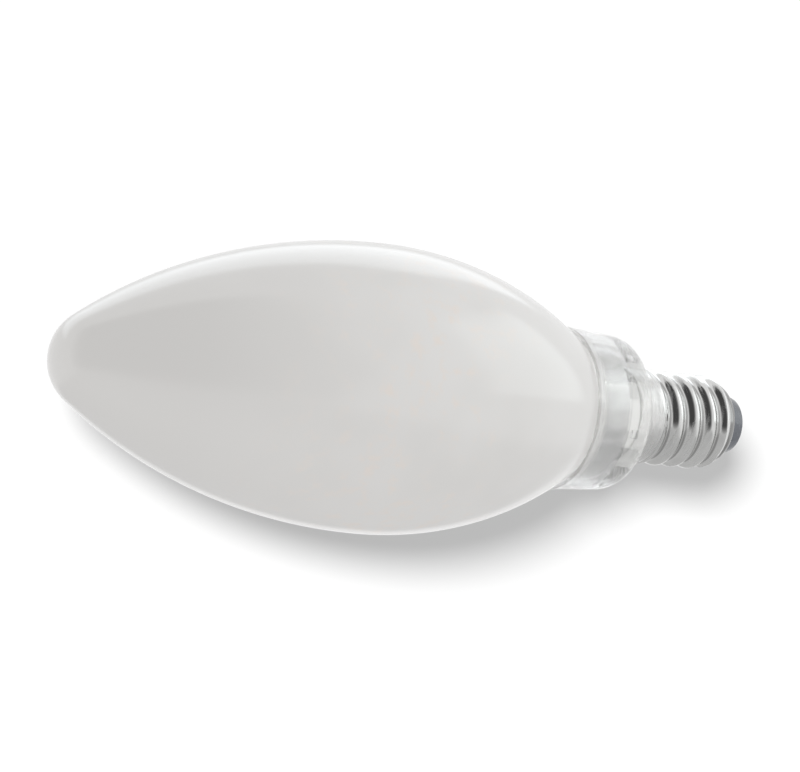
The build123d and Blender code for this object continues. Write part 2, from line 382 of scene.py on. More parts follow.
@dataclass(frozen=True)
class Metal(Finish):
    """Bare metal with fine lines drawn round the axis."""

    bright: Colour = (0.72, 0.72, 0.712)
    dull: Colour = (0.61, 0.61, 0.603)
    roughness: float = 0.12
    spread: float = 0.1
    line_stretch: Triple = (0.12, 0.12, 1.0)
    line_scale: float = 6.0
    line_detail: float = 4.0
    line_roughness: float = 0.6
    line_share: float = 0.6
    cloud_scale: float = 0.35
    tone_range: Span = (0.3, 0.7)
    relief: float = 0.002
    relief_strength: float = 0.5

    def lines(self, graph: Graph) -> Value:
        """Noise drawn out into lines round the axis."""
        place = graph.place(self.line_stretch)
        return graph.noise(place, self.line_scale, self.line_detail, self.line_roughness)

    def plate(self, graph: Graph, line: Value) -> Value:
        """Colour of the metal.

        Args:
            graph: The material's tree.
            line: The lines round the axis.

        Returns:
            The colour, duller along some of the lines and in clouds.
        """
        cloud = graph.noise(graph.place(), self.cloud_scale)
        tone = line * self.line_share + cloud * (1 - self.line_share)
        return graph.blend(tone.over(*self.tone_range), self.dull, self.bright)

    def dress(self, graph: Graph) -> None:
        """Lines in colour, gloss and relief.

        Args:
            graph: The material's empty tree.
        """
        line = self.lines(graph)
        graph.surface(
            Base_Color=self.plate(graph, line),
            Metallic=1.0,
            Roughness=self.roughness + line * self.spread,
            Normal=graph.bump(line, self.relief_strength, self.relief),
        )


@dataclass(frozen=True)
class ScrewNickel(Metal):
    """Nickel plate that is satin on the plain top, burnished on the thread and painted darker in its grooves
    as shade.
    """

    slot: str = "nickel_shell"
    roughness: float = 0.07
    spread: float = 0.36
    line_scale: float = 2.2
    line_share: float = 0.5
    streak_range: Span = (0.46, 0.62)
    relief: float = 0.02
    plain_heights: Span = (14.1, 14.9)
    plain_roughness: float = 0.25
    # painted shade: the thread's roots are darkened in colour
    groove_shade: Colour = (0.26, 0.258, 0.255)
    groove_shade_radii: Span = (5.335, 5.365)

    def dress(self, graph: Graph) -> None:
        """Burnished thread under a satin top.

        Args:
            graph: The material's empty tree.
        """
        line = self.lines(graph)
        plain = graph.split(graph.place(), "Z").over(*self.plain_heights)
        gloss = self.roughness + plain * (self.plain_roughness - self.roughness)
        flat = graph.place((1.0, 1.0, 0.0))
        radius = graph.node("ShaderNodeVectorMath", {"operation": "LENGTH"}, {0: flat}, "Value")
        # painted shade: darker in colour towards the thread's roots
        groove_shade = 1 - radius.over(*self.groove_shade_radii)
        graph.surface(
            Base_Color=graph.stain(groove_shade, self.plate(graph, line), self.groove_shade),
            Metallic=1.0,
            Roughness=gloss + line.over(*self.streak_range) * self.spread,
            Normal=graph.bump(line, self.relief_strength, self.relief),
        )


@dataclass(frozen=True)
class Moulded(Finish):
    """Opaque moulded, dipped or laminated body with a fine grain."""

    colour: Colour
    worn: Colour
    roughness: float = 0.4
    spread: float = 0.15
    grain_scale: float = 4.0
    grain_detail: float = 4.0
    grain_roughness: float = 0.6
    grain_share: float = 0.5
    cloud_scale: float = 0.3
    cloud_detail: float = 2.0
    tone_range: Span = (0.35, 0.7)
    relief: float = 0.01
    relief_strength: float = 0.4

    def dress(self, graph: Graph) -> None:
        """Grain in colour, gloss and relief.

        Args:
            graph: The material's empty tree.
        """
        place = graph.place()
        grain = graph.noise(place, self.grain_scale, self.grain_detail, self.grain_roughness)
        cloud = graph.noise(place, self.cloud_scale, self.cloud_detail)
        tone = grain * self.grain_share + cloud * (1 - self.grain_share)
        graph.surface(
            Base_Color=graph.blend(tone.over(*self.tone_range), self.colour, self.worn),
            Roughness=self.roughness + grain * self.spread,
            Normal=graph.bump(grain, self.relief_strength, self.relief),
        )


class PlainFinish(Enum):
    """Finishes that are plain metal or one moulded colour."""

    SLEEVE = Metal(
        "satin_sleeve",
        bright=(0.64, 0.64, 0.632),
        dull=(0.52, 0.52, 0.515),
        roughness=0.18,
        line_scale=5.0,
    )
    INSULATOR = Moulded(
        "dark_insulator",
        colour=(0.075, 0.082, 0.098),
        worn=(0.12, 0.128, 0.145),
        roughness=0.18,
        grain_scale=2.0,
        relief=0.004,
    )
    CONTACT = Metal(
        "contact_metal",
        bright=(0.76, 0.66, 0.46),
        dull=(0.62, 0.52, 0.34),
        roughness=0.25,
        spread=0.2,
        line_scale=3.0,
        relief=0.006,
    )
    TUBE = Moulded(
        "white_tube",
        colour=(0.85, 0.85, 0.83),
        worn=(0.80, 0.80, 0.78),
        roughness=0.35,
        grain_scale=3.0,
        relief=0.004,
    )
    BOARD = Moulded(
        "board_laminate",
        colour=(0.06, 0.22, 0.10),
        worn=(0.10, 0.32, 0.16),
        roughness=0.35,
        grain_scale=5.0,
    )
    BLOCK = Moulded(
        "component_body",
        colour=(0.020, 0.020, 0.022),
        worn=(0.045, 0.045, 0.05),
        roughness=0.5,
        grain_scale=8.0,
    )
    CAN = Moulded(
        "capacitor_can",
        colour=(0.035, 0.04, 0.06),
        worn=(0.06, 0.065, 0.09),
        roughness=0.2,
        grain_scale=3.0,
        relief=0.004,
    )
    RESISTOR = Moulded(
        "resistor_body",
        colour=(0.14, 0.34, 0.42),
        worn=(0.22, 0.44, 0.52),
        roughness=0.45,
        grain_scale=6.0,
    )
    WIRE = Metal(
        "tinned_wire",
        bright=(0.78, 0.77, 0.75),
        dull=(0.62, 0.61, 0.60),
        roughness=0.3,
        spread=0.2,
        line_scale=4.0,
    )


# Drawing


class Outline:
    """A half section beside the lamp's axis, drawn as one chain of edges, in millimetres.

    Args:
        radius: The first point's distance from the axis.
        height: The first point's height.
    """

    merge_distance = 0.002

    def __init__(self, radius: float, height: float) -> None:
        """Starts the chain."""
        self.mesh = bmesh.new()
        self.first = self.mesh.verts.new((radius, 0.0, height))
        self.last = self.first

    def line(self, radius: float, height: float, steps: int = 1) -> "Outline":
        """Runs straight to a point.

        Args:
            radius: The point's distance from the axis.
            height: Its height.
            steps: How many equal edges the line has.

        Returns:
            The same outline.
        """
        start = self.last.co.copy()
        end = Vector((radius, 0.0, height))
        for step in range(1, steps + 1):
            made = bmesh.ops.extrude_vert_indiv(self.mesh, verts=[self.last])
            self.last = made["verts"][0]
            self.last.co = start.lerp(end, step / steps)
        return self

    def arc(self, radius: float, height: float, turn: float, steps: int) -> "Outline":
        """Turns about a centre.

        Args:
            radius: The centre's distance from the axis.
            height: The centre's height.
            turn: Degrees, counter-clockwise with the axis on the left.
            steps: How many edges the arc has.

        Returns:
            The same outline.
        """
        made = bmesh.ops.spin(
            self.mesh,
            geom=[self.last],
            cent=(radius, 0.0, height),
            axis=(0.0, 1.0, 0.0),
            angle=-math.radians(turn),
            steps=steps,
            use_duplicate=False,
        )
        self.last = next(part for part in made["geom_last"] if isinstance(part, bmesh.types.BMVert))
        return self

    def corner(self, at: Span, towards: Span, radius: float, steps: int = 6) -> "Outline":
        """Runs to a rounded corner.

        Args:
            at: The sharp corner's radius and height.
            towards: A point that the next line heads for.
            radius: The corner's rounding.
            steps: How many edges the rounding has.

        Returns:
            The same outline.
        """
        tip = Vector(at)
        back = (Vector((self.last.co.x, self.last.co.z)) - tip).normalized()
        ahead = (Vector(towards) - tip).normalized()
        half = back.angle(ahead) / 2
        start = tip + back * radius / math.tan(half)
        centre = tip + (back + ahead).normalized() * radius / math.sin(half)
        side = math.copysign(1.0, back.cross(ahead))
        turn = -side * math.degrees(math.pi - 2 * half)
        return self.line(*start).arc(*centre, turn, steps)

    def close(self) -> "Outline":
        """Joins the chain's ends."""
        self.mesh.edges.new((self.last, self.first))
        return self

    def spun(self, steps: int, start: float = 0.0) -> bmesh.types.BMesh:
        """Turns the section all round the axis.

        Args:
            steps: How many segments the turned skin has.
            start: The first segment's place in degrees.

        Returns:
            The skin, merged at its seam and poles, with its faces outwards.
        """
        mesh = self.mesh
        turn = Matrix.Rotation(math.radians(start), 3, "Z")
        bmesh.ops.rotate(mesh, verts=mesh.verts, cent=(0.0, 0.0, 0.0), matrix=turn)
        bmesh.ops.spin(
            mesh,
            geom=mesh.verts[:] + mesh.edges[:],
            cent=(0.0, 0.0, 0.0),
            axis=(0.0, 0.0, 1.0),
            angle=math.radians(ROUND),
            steps=steps,
            use_merge=True,
            use_duplicate=False,
        )
        bmesh.ops.remove_doubles(mesh, verts=mesh.verts, dist=self.merge_distance)
        bmesh.ops.recalc_face_normals(mesh, faces=mesh.faces)
        return mesh


def shown(
    name: str, mesh: bmesh.types.BMesh, finish: Finish, node: str, sharp: float = 40.0
) -> bpy.types.Object:
    """Puts a finished skin in the scene in place of a CAD node.

    Args:
        name: The piece's name.
        mesh: Its skin in millimetres, which is used up.
        finish: What it is made of.
        node: The CAD node that it stands for.
        sharp: Edges that turn by more than this many degrees stay crisp.

    Returns:
        The new object.
    """
    bmesh.ops.scale(mesh, vec=(MM, MM, MM), verts=mesh.verts)
    data = bpy.data.meshes.new(name)
    mesh.to_mesh(data)
    mesh.free()
    data.shade_smooth()
    data.set_sharp_from_angle(angle=math.radians(sharp))
    data.materials.append(finish.material())
    piece = bpy.data.objects.new(name, data)
    bpy.context.scene.collection.objects.link(piece)
    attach(piece, BODY)
    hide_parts(node)
    log.info("%s stands for %s with %d faces", name, node, len(data.polygons))
    return piece


def thicken(piece: bpy.types.Object, wall: float) -> None:
    """Gives a skin its wall, inwards.

    Args:
        piece: An object with an open skin.
        wall: The wall in millimetres.
    """
    wall_maker = piece.modifiers.new("wall", "SOLIDIFY")
    wall_maker.thickness = wall * MM
    wall_maker.offset = -1.0
    wall_maker.use_even_offset = True


def let_light_in(piece: bpy.types.Object, shade: bool) -> None:
    """Lets soft light past a piece to what it hides, with or without a shadow of its own."""
    piece.visible_diffuse = False
    piece.visible_shadow = shade


def smooth_max(first: float, second: float, blend: float) -> float:
    """The larger of two radii, with a rounded change from one to the other."""
    gap = max(blend - abs(first - second), 0.0) / blend
    return max(first, second) + gap * gap * blend / 4


# Sub-assemblies, in millimetres and degrees


@dataclass
class Envelope:
    """Blown opal glass: a blunt tip, a long nose, a round tail and a short neck."""

    widest: float = 17.5
    tip_z: float = 98.0
    nose_length: float = 43.3
    tip_radius: float = 6.3
    rim_z: float = 28.0
    mouth: float = 9.65
    neck: float = 7.387
    neck_length: float = 0.2
    blend: float = 1.5
    seal: float = 1.2
    wall: float = 0.8
    sharp: float = 60.0
    steps: int = 192

    def __post_init__(self) -> None:
        """Works out the arcs."""
        rise = self.nose_length - self.tip_radius
        self.belly_z = self.tip_z - self.nose_length
        square = rise**2 + self.widest**2 - self.tip_radius**2
        self.nose_radius = square / (2 * (self.widest - self.tip_radius))
        self.tip_turn = math.degrees(math.atan2(rise, self.nose_radius - self.widest))
        drop = self.belly_z - self.rim_z
        inset = self.widest - self.mouth
        self.tail_radius = (drop**2 + inset**2) / (2 * inset)

    def tail(self, radius: float, grow: float = 0.0) -> float:
        """Height at which the tail, grown outwards, has a radius."""
        run = radius - self.widest + self.tail_radius
        return self.belly_z - math.sqrt((self.tail_radius + grow) ** 2 - run**2)

    def tail_angle(self, radius: float, grow: float = 0.0) -> float:
        """How far the tail has turned in from the widest ring at a radius, in degrees."""
        run = radius - self.widest + self.tail_radius
        return math.degrees(math.acos(run / (self.tail_radius + grow)))

    def tail_width(self, height: float, grow: float = 0.0) -> float:
        """Radius of the tail, grown outwards, at a height."""
        reach = self.tail_radius + grow
        return self.widest - self.tail_radius + math.sqrt(reach**2 - (self.belly_z - height) ** 2)

    def tail_centre(self) -> Span:
        """Radius and height of the centre of the tail's arc."""
        return self.widest - self.tail_radius, self.belly_z

    def outline(self) -> Outline:
        """Half section of the outer skin.

        Returns:
            The section from the tip's pole to the seal's.
        """
        tail_r, tail_z = self.tail_centre()
        run = self.neck + self.blend - tail_r
        reach = self.tail_radius + self.blend
        turn = math.degrees(math.acos(run / reach))
        blend_z = tail_z - math.sqrt(reach**2 - run**2)
        end_z = blend_z - self.neck_length - self.seal
        outline = Outline(0.0, self.tip_z)
        outline.arc(0.0, self.tip_z - self.tip_radius, self.tip_turn - 90.0, steps=14)
        outline.arc(self.widest - self.nose_radius, self.belly_z, -self.tip_turn, steps=64)
        outline.arc(tail_r, tail_z, -turn, steps=48)
        outline.arc(self.neck + self.blend, blend_z, turn, steps=10)
        outline.corner((self.neck, end_z), (0.0, end_z), self.seal)
        return outline.line(0.0, end_z, steps=4)

    def build(self) -> None:
        """Builds the envelope."""
        skin = self.outline().spun(self.steps)
        thicken(shown("opal_envelope", skin, OpalGlass(), "glass_envelope", self.sharp), self.wall)


@dataclass
class Collar:
    """Clear collar, the satin sleeve behind its wall and the bond under the glass."""

    glass: Envelope
    shoulder_z: float = 18.6
    foot: float = 9.5
    draft: float = 0.5
    flare: float = 0.2
    flare_length: float = 1.6
    rim_edge: float = 0.25
    shoulder: float = 2.4
    wall: float = 1.2
    floor_thickness: float = 3.7
    glass_gap: float = 0.1
    spigot_top: float = 5.56
    spigot: float = 5.04
    spigot_bore: float = 4.14
    spigot_end_z: float = 7.6
    ledge: float = 3.34
    ledge_z: float = 8.4
    plain_end_z: float = 14.9
    plain_blend: float = 0.6
    sleeve_gap: float = 0.05
    sleeve_wall: float = 0.25
    sleeve_height: float = 3.75
    sleeve_edge: float = 0.07
    bond_height: float = 0.3
    pockets: int = 6
    pocket_width: float = 6.0
    pocket_phase: float = 16.0
    pocket_low: float = 21.35
    pocket_high: float = 22.25
    pocket_depth: float = 0.5
    skin_depth: float = 0.1
    halvings: int = 40
    steps: int = 240

    def __post_init__(self) -> None:
        """Works out the heights of the floor and of the sleeve."""
        self.floor_z = self.shoulder_z + self.floor_thickness
        self.sleeve_z = self.floor_z + self.sleeve_height

    def bore(self, height: float) -> float:
        """Inner radius of the tapered wall at a height."""
        taper = self.glass.rim_z - self.flare_length - self.shoulder_z
        return self.foot - self.wall + self.draft * (height - self.shoulder_z) / taper

    def skin(self, height: float) -> float:
        """Outer radius of the tapered wall at a height."""
        return self.bore(height) + self.wall

    def seat_z(self, gap: float) -> float:
        """Finds where the tapered bore meets the glass tail.

        Args:
            gap: How far the tail is grown outwards.

        Returns:
            The height.
        """
        low = self.floor_z
        high = self.glass.rim_z
        for _ in range(self.halvings):
            middle = (low + high) / 2
            inside = self.glass.tail(self.bore(middle), gap) < middle
            low, high = (low, middle) if inside else (middle, high)
        return high

    def outline(self) -> Outline:
        """Half section of the collar with its spigot.

        Returns:
            The closed section.
        """
        rim_z = self.glass.rim_z
        waist = self.foot + self.draft
        rim = waist + self.flare
        flare_z = rim_z - self.flare_length
        mouth = self.glass.tail_width(rim_z, self.glass_gap)
        seat_z = self.seat_z(self.glass_gap)
        seat_turn = self.glass.tail_angle(self.bore(seat_z), self.glass_gap)
        mouth_turn = self.glass.tail_angle(mouth, self.glass_gap)
        pocket_foot = (self.skin(self.pocket_low), self.pocket_low)
        outline = Outline(mouth, rim_z)
        outline.arc(*self.glass.tail_centre(), mouth_turn - seat_turn, steps=10)
        outline.line(self.bore(self.floor_z), self.floor_z, steps=8)
        outline.line(self.spigot_bore, self.floor_z, steps=3)
        outline.line(self.spigot_bore, self.ledge_z, steps=4)
        outline.line(self.ledge, self.ledge_z)
        outline.line(self.ledge, self.spigot_end_z)
        outline.line(self.spigot, self.spigot_end_z)
        outline.line(self.spigot, self.plain_end_z - self.plain_blend, steps=3)
        outline.line(self.spigot_top, self.plain_end_z)
        outline.line(self.spigot_top, self.shoulder_z, steps=2)
        outline.corner((self.foot, self.shoulder_z), pocket_foot, self.shoulder, steps=16)
        outline.line(*pocket_foot)
        outline.line(self.skin(self.pocket_high), self.pocket_high, steps=3)
        outline.line(waist, flare_z, steps=6)
        outline.corner((rim, rim_z), (mouth, rim_z), self.rim_edge)
        return outline.close()

    def sink_pockets(self, mesh: bmesh.types.BMesh) -> None:
        """Presses the ring of blind pockets into the wall.

        Args:
            mesh: The collar's skin, whose segments start at a pocket's edge.
        """
        spacing = ROUND / self.pockets
        outer = self.skin(self.pocket_low) - self.skin_depth
        faces = []
        for face in mesh.faces:
            middle = face.calc_center_median()
            around = math.degrees(math.atan2(middle.y, middle.x)) - self.pocket_phase
            offset = (around + spacing / 2) % spacing - spacing / 2
            level = self.pocket_low < middle.z < self.pocket_high
            if level and abs(offset) < self.pocket_width / 2 and middle.xy.length > outer:
                faces.append(face)
        made = bmesh.ops.extrude_face_region(mesh, geom=faces)
        bmesh.ops.delete(mesh, geom=faces, context="FACES")
        for part in made["geom"]:
            if isinstance(part, bmesh.types.BMVert):
                part.co.xy -= part.co.xy.normalized() * self.pocket_depth
        bmesh.ops.recalc_face_normals(mesh, faces=mesh.faces)

    def build_collar(self) -> None:
        """Builds the clear collar."""
        mesh = self.outline().spun(self.steps, self.pocket_phase - self.pocket_width / 2)
        self.sink_pockets(mesh)
        let_light_in(shown("clear_collar", mesh, ClearPlastic(), "collar"), False)

    def build_sleeve(self) -> None:
        """Builds the satin sleeve on the collar's floor."""
        low_outer = self.bore(self.floor_z) - self.sleeve_gap
        high_outer = self.bore(self.sleeve_z) - self.sleeve_gap
        low_inner = low_outer - self.sleeve_wall
        high_inner = high_outer - self.sleeve_wall
        middle_z = (self.floor_z + self.sleeve_z) / 2
        outline = Outline((low_inner + high_inner) / 2, middle_z)
        outline.corner((low_inner, self.floor_z), (low_outer, self.floor_z), self.sleeve_edge, steps=3)
        outline.corner((low_outer, self.floor_z), (high_outer, self.sleeve_z), self.sleeve_edge, steps=3)
        outline.line((low_outer + high_outer) / 2, middle_z, steps=6)
        outline.corner((high_outer, self.sleeve_z), (high_inner, self.sleeve_z), self.sleeve_edge, steps=3)
        outline.corner((high_inner, self.sleeve_z), (low_inner, self.floor_z), self.sleeve_edge, steps=3)
        mesh = outline.close().spun(self.steps)
        let_light_in(shown("satin_sleeve", mesh, PlainFinish.SLEEVE.value, "driver_sleeve"), True)

    def build_bond(self) -> None:
        """Builds the bead of clear bond on top of the sleeve."""
        high_z = self.sleeve_z + self.bond_height
        lower = self.glass.tail_width(self.sleeve_z)
        upper = self.glass.tail_width(high_z)
        turn = self.glass.tail_angle(upper) - self.glass.tail_angle(lower)
        outline = Outline(lower, self.sleeve_z)
        outline.line(self.bore(self.sleeve_z), self.sleeve_z, steps=2)
        outline.line(self.bore(high_z), high_z, steps=3)
        outline.line(upper, high_z)
        outline.arc(*self.glass.tail_centre(), turn, steps=4)
        mesh = outline.close().spun(self.steps)
        let_light_in(shown("bond_bead", mesh, ClearBond(), "bond_ring"), False)

    def build(self) -> None:
        """Builds the collar's pieces."""
        self.build_collar()
        self.build_sleeve()
        self.build_bond()


@dataclass
class ScrewCap:
    """Rolled screw shell, its insulator and the centre contact."""

    crest: float = 5.945
    depth: float = 0.635
    pitch: float = 2.54
    phase: float = 24.0
    land_rise: float = 0.03
    sheet: float = 0.25
    plain_rise: float = 0.55
    plain_blend: float = 0.6
    rim_z: float = 3.1
    plain_end_z: float = 14.9
    top_z: float = 18.6
    roll: float = 2.2
    roll_turn: float = 48.0
    fade: float = 1.3
    soft: float = 0.06
    sharp: float = 60.0
    insulator_gap: float = 0.05
    insulator_top_z: float = 5.3
    insulator_end: float = 3.4
    insulator_end_z: float = 0.8
    insulator_skirt: float = 0.3
    insulator_edge: float = 0.5
    insulator_fine_edge: float = 0.1
    hole: float = 1.05
    contact: float = 2.1
    contact_edge: float = 0.4
    contact_steps: int = 96
    shank: float = 1.0
    shank_z: float = 5.6
    shank_edge: float = 0.2
    steps: int = 192

    def __post_init__(self) -> None:
        """Works out the thread's arcs."""
        half = self.pitch / 2
        self.root = self.crest - self.depth
        self.core = self.root + self.land_rise
        self.knuckle = (half**2 + self.depth**2) / (4 * self.depth)

    def thread(self, around: float, height: float) -> float:
        """Follows the endless thread.

        Args:
            around: An angle about the axis.
            height: A height.

        Returns:
            The thread's radius there.
        """
        start_z = self.rim_z - self.pitch
        climb = height - start_z - self.pitch * (around - self.phase) / ROUND
        away = abs((climb + self.pitch / 2) % self.pitch - self.pitch / 2)
        flank = self.pitch / 4
        if away < flank:
            return self.crest - self.knuckle + math.sqrt(self.knuckle**2 - away**2)
        rest = self.pitch / 2 - away
        return self.root + self.knuckle - math.sqrt(self.knuckle**2 - rest**2)

    def limit(self, height: float) -> float:
        """Makes the ridge run out at both ends.

        Args:
            height: A height.

        Returns:
            The radius that the ridge may have there.
        """
        foot = self.core - self.sheet / 2
        climb = (self.crest + self.sheet - foot) / self.fade
        low = height - self.rim_z - self.roll / 2
        high = self.plain_end_z - height
        return foot + climb * min(low, high)

    def shell_outline(self) -> Outline:
        """Half section of the shell's outer skin.

        Returns:
            The open section, from the rolled rim up.
        """
        turn = math.radians(self.roll_turn)
        centre_r = self.core - self.roll
        centre_z = self.rim_z + self.roll * math.sin(turn)
        plain = self.root + self.plain_rise
        outline = Outline(centre_r + self.roll * math.cos(turn), self.rim_z)
        outline.arc(centre_r, centre_z, self.roll_turn, steps=18)
        outline.line(self.core, self.plain_end_z - self.plain_blend, steps=108)
        outline.line(plain, self.plain_end_z, steps=8)
        return outline.line(plain, self.top_z, steps=10)

    def build_shell(self) -> None:
        """Builds the shell: a turned skin with its thread raised out of it."""
        mesh = self.shell_outline().spun(self.steps)
        for vert in mesh.verts:
            around = math.degrees(math.atan2(vert.co.y, vert.co.x))
            ridge = min(self.thread(around, vert.co.z), self.limit(vert.co.z))
            radius = vert.co.xy.length
            vert.co.xy *= smooth_max(radius, ridge, self.soft) / radius
        bmesh.ops.recalc_face_normals(mesh, faces=mesh.faces)
        piece = shown("rolled_shell", mesh, ScrewNickel(), "screw_shell", self.sharp)
        thicken(piece, self.sheet)
        let_light_in(piece, True)

    def build_insulator(self) -> None:
        """Builds the dark button in the shell's rolled rim."""
        inset = self.sheet + self.insulator_gap
        roll = self.roll - inset
        drop = self.roll * math.sin(math.radians(self.roll_turn))
        centre_r = self.core - self.roll
        centre_z = self.rim_z + drop
        mouth = centre_r + math.sqrt(roll**2 - drop**2)
        turn = math.degrees(math.asin(drop / roll))
        skirt_z = self.rim_z - self.insulator_skirt
        end = (self.insulator_end, self.insulator_end_z)
        top = (self.core - inset, self.insulator_top_z)
        hole_top = (self.hole, self.insulator_top_z)
        outline = Outline(self.hole, self.insulator_end_z)
        outline.corner(end, (mouth, skirt_z), self.insulator_edge)
        outline.corner((mouth, skirt_z), (mouth, self.rim_z), self.insulator_fine_edge, steps=3)
        outline.line(mouth, self.rim_z)
        outline.arc(centre_r, centre_z, turn, steps=12)
        outline.corner(top, hole_top, self.insulator_fine_edge, steps=3)
        outline.line(*hole_top, steps=3)
        mesh = outline.close().spun(self.steps)
        shown("insulator_button", mesh, PlainFinish.INSULATOR.value, "base_insulator")

    def build_contact(self) -> None:
        """Builds the riveted centre contact."""
        outline = Outline(0.0, 0.0)
        outline.line(self.contact / 2, 0.0)
        outline.corner((self.contact, 0.0), (self.contact, self.insulator_end_z), self.contact_edge)
        outline.line(self.contact, self.insulator_end_z)
        outline.line(self.shank, self.insulator_end_z)
        outline.corner((self.shank, self.shank_z), (0.0, self.shank_z), self.shank_edge, steps=4)
        outline.line(0.0, self.shank_z)
        mesh = outline.spun(self.contact_steps)
        shown("contact_button", mesh, PlainFinish.CONTACT.value, "centre_contact")

    def build(self) -> None:
        """Builds the cap's pieces."""
        self.build_shell()
        self.build_insulator()
        self.build_contact()


@dataclass
class Driver:
    """The driver inside the cap, whose pieces keep their CAD shapes."""

    nodes: dict

    def build(self) -> None:
        """Dresses each CAD piece of the driver."""
        finishes = {
            "driver_tube": PlainFinish.TUBE,
            "driver_board": PlainFinish.BOARD,
            "bridge_rectifier": PlainFinish.BLOCK,
            "driver_chip": PlainFinish.BLOCK,
            "smoothing_capacitor": PlainFinish.CAN,
            "fuse_resistor": PlainFinish.RESISTOR,
            "shell_lead": PlainFinish.WIRE,
            "stem_leads": PlainFinish.WIRE,
        }
        for node, finish in finishes.items():
            piece = self.nodes[node]
            piece.data.materials.clear()
            piece.data.materials.append(finish.value.material())
            log.info("%s keeps its CAD shape", node)


# Camera and studio, in metres and degrees


@dataclass
class PhotoCamera:
    """A long lens near the lamp's tip.

    In its picture the lamp's axis leans by the slope, and the tip comes nearer by the tilt.
    """

    slope: float = 5.9
    tilt: float = 33.0
    tip_distance: float = 0.5
    tip_height: float = 0.098
    focal_px: float = 4365.0
    tip_px: tuple[float, float] = (53.7, 356.0)
    frame_px: tuple[int, int] = (800, 772)
    sensor: float = 36.0
    clip_start: float = 0.02

    def __post_init__(self) -> None:
        """Works out the camera's directions and place in the lamp's frame."""
        slope = math.radians(self.slope)
        tilt = math.radians(self.tilt)
        run = math.cos(tilt)
        axis = Vector((-run * math.cos(slope), -run * math.sin(slope), -math.sin(tilt)))
        side = Vector((math.sin(slope), -math.cos(slope), 0.0))
        turn = Matrix((side, axis.cross(side), axis))
        self.right = turn @ Vector((1.0, 0.0, 0.0))
        self.up = turn @ Vector((0.0, -1.0, 0.0))
        self.back = turn @ Vector((0.0, 0.0, -1.0))
        off = [(px - size / 2) / self.focal_px for px, size in zip(self.tip_px, self.frame_px)]
        tip = turn @ Vector((*off, 1.0)) * self.tip_distance
        self.place = Vector((0.0, 0.0, self.tip_height)) - tip

    def build(self) -> None:
        """Builds the camera."""
        data = bpy.data.cameras.new("photo_camera")
        data.sensor_fit = "HORIZONTAL"
        data.sensor_width = self.sensor
        data.lens = self.focal_px * self.sensor / self.frame_px[0]
        data.clip_start = self.clip_start
        camera = bpy.data.objects.new("photo_camera", data)
        turn = Matrix((self.right, self.up, self.back)).transposed()
        camera.matrix_world = Matrix.Translation(self.place) @ turn.to_4x4()
        bpy.context.scene.collection.objects.link(camera)
        bpy.context.scene.camera = camera


@dataclass(frozen=True)
class Panel:
    """A flat, soft-edged studio panel that the gloss shows.

    Its middle, seen from the lamp's middle, and its half sides run along the camera's right, up and back. Its
    soft borders are shares of its size, at the low and high ends of each side. Only some panels light matt
    surfaces.
    """

    name: str
    middle: Triple
    across: Triple
    along: Triple
    glow: float
    tint: Colour = (1.0, 1.0, 1.0)
    soft_across: Span = (0.2, 0.2)
    soft_along: Span = (0.2, 0.2)
    lights: bool = False

    def dress(self, graph: Graph) -> None:
        """Even glow that fades to clear at the borders.

        Args:
            graph: The material's empty tree.
        """
        place = graph.node("ShaderNodeTexCoord", output="UV")
        left, right = self.soft_across
        low, high = self.soft_along
        across = graph.split(place, "X").within((0.0, left), (1 - right, 1.0))
        along = graph.split(place, "Y").within((0.0, low), (1 - high, 1.0))
        glow = graph.node("ShaderNodeEmission", {}, {"Color": (*self.tint, 1.0), "Strength": self.glow})
        clear = graph.node("ShaderNodeBsdfTransparent")
        both = graph.node("ShaderNodeMixShader", {}, {0: across * along, 1: clear, 2: glow})
        graph.node("ShaderNodeOutputMaterial", {}, {"Surface": both})


